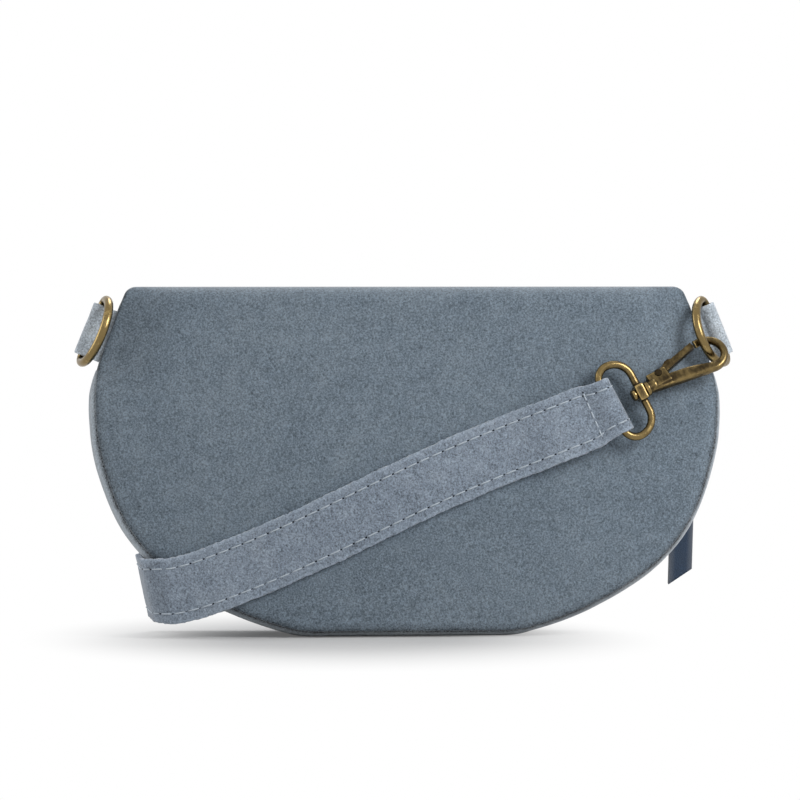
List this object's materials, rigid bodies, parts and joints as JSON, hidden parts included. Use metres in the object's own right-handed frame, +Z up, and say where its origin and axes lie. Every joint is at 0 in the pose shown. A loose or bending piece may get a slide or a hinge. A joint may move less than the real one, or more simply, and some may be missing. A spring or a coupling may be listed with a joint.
{
  "type": "belt bag",
  "caption": "Half-moon suede belt bag with a curved front zip, D rings on side tabs and a belt strap clipped on by trigger snaps.",
  "frame": {"origin": "middle of the flat base of the gusset, where the bag stands", "axes": "+X to the right as the plain back is seen, +Z up, +Y from the back panel to the zip side"},
  "size_m": [0.2894, 0.0904, 0.152],
  "materials": {
    "suede": "brushed blue-grey suede",
    "strap_suede": "paler blue-grey suede",
    "tab_suede": "light grey suede",
    "pull_leather": "dark navy leather",
    "lining_cloth": "plain woven lining",
    "zip_cloth": "woven zip tape",
    "antique_brass": "antique brass with dark patina",
    "spring_steel": "plain spring wire"
  },
  "bodies": {
    "bag": {"back_panel": "suede", "front_panel": "suede", "gusset": "suede", "lining": "lining_cloth", "zip_tape_upper": "zip_cloth", "zip_tape_lower": "zip_cloth", "zip_teeth_upper": "antique_brass", "zip_teeth_lower": "antique_brass", "zip_stop_left": "antique_brass", "zip_stop_right": "antique_brass", "tab_left": "tab_suede", "tab_right": "tab_suede", "strap": "strap_suede"},
    "slider": {"zip_slider": "antique_brass"},
    "link": {"pull_link": "antique_brass"},
    "pull": {"pull_tab": "pull_leather"},
    "left_ring": {"ring_left": "antique_brass"},
    "right_ring": {"ring_right": "antique_brass"},
    "snap_a_loop": {"hook_a_loop": "antique_brass"},
    "snap_a": {"hook_a_body": "antique_brass", "hook_a_rivet": "antique_brass", "hook_a_spring": "spring_steel"},
    "snap_a_gate": {"hook_a_gate": "antique_brass"},
    "snap_b_loop": {"hook_b_loop": "antique_brass"},
    "snap_b": {"hook_b_body": "antique_brass", "hook_b_rivet": "antique_brass", "hook_b_spring": "spring_steel"},
    "snap_b_gate": {"hook_b_gate": "antique_brass"}
  },
  "joints": [
    {"name": "zip_slide", "type": "hinge", "parent": "bag", "child": "slider", "pos_m": [0, 0.03779, -0.09416], "axis": [0, -0.9914, -0.1305], "range_deg": [0, 68.2]},
    {"name": "pull_turn", "type": "hinge", "parent": "slider", "child": "link", "pos_m": [0.12607, 0.01564, 0.09211], "axis": [0, -0.9914, -0.1305], "range_deg": [-70, 4]},
    {"name": "pull_swing", "type": "hinge", "parent": "link", "child": "pull", "pos_m": [0.12607, 0.0202, 0.08047], "axis": [1, 0, 0], "range_deg": [0, 60]},
    {"name": "ring_left_swing", "type": "hinge", "parent": "bag", "child": "left_ring", "pos_m": [-0.1367, -0.002, 0.133], "axis": [-0.3746, 0, -0.9272], "range_deg": [-33, 227]},
    {"name": "ring_right_swing", "type": "hinge", "parent": "bag", "child": "right_ring", "pos_m": [0.1367, -0.002, 0.133], "axis": [-0.3746, 0, 0.9272], "range_deg": [-1, 2]},
    {"name": "snap_a_lift", "type": "hinge", "parent": "bag", "child": "snap_a_loop", "pos_m": [0.08786, -0.02479, 0.09978], "axis": [-0.4528, 0.1104, 0.8848], "range_deg": [-0.3, 0.8]},
    {"name": "snap_a_turn", "type": "hinge", "parent": "snap_a_loop", "child": "snap_a", "pos_m": [0.08786, -0.02479, 0.09978], "axis": [0.8872, 0.1543, 0.4348], "range_deg": [-6, 2]},
    {"name": "snap_a_gate_turn", "type": "hinge", "parent": "snap_a", "child": "snap_a_gate", "pos_m": [0.10907, -0.01894, 0.1133], "axis": [-0.1344, -0.8151, 0.5635], "range_deg": [-22, 0], "stiffness_Nm_per_rad": 0.03, "springref_deg": 20.05, "deforming": ["hook_a_spring"]},
    {"name": "snap_b_lift", "type": "hinge", "parent": "bag", "child": "snap_b_loop", "pos_m": [0.004, 0.05535, 0.0198], "axis": [0, 0, 1], "range_deg": [-8, 80]},
    {"name": "snap_b_turn", "type": "hinge", "parent": "snap_b_loop", "child": "snap_b", "pos_m": [0.004, 0.05535, 0.0198], "axis": [1, 0, 0], "continuous": true},
    {"name": "snap_b_gate_turn", "type": "hinge", "parent": "snap_b", "child": "snap_b_gate", "pos_m": [0.0296, 0.05535, 0.0164], "axis": [0, 1, 0], "range_deg": [-22, 0], "stiffness_Nm_per_rad": 0.03, "springref_deg": 20.05, "deforming": ["hook_b_spring"]}
  ]
}
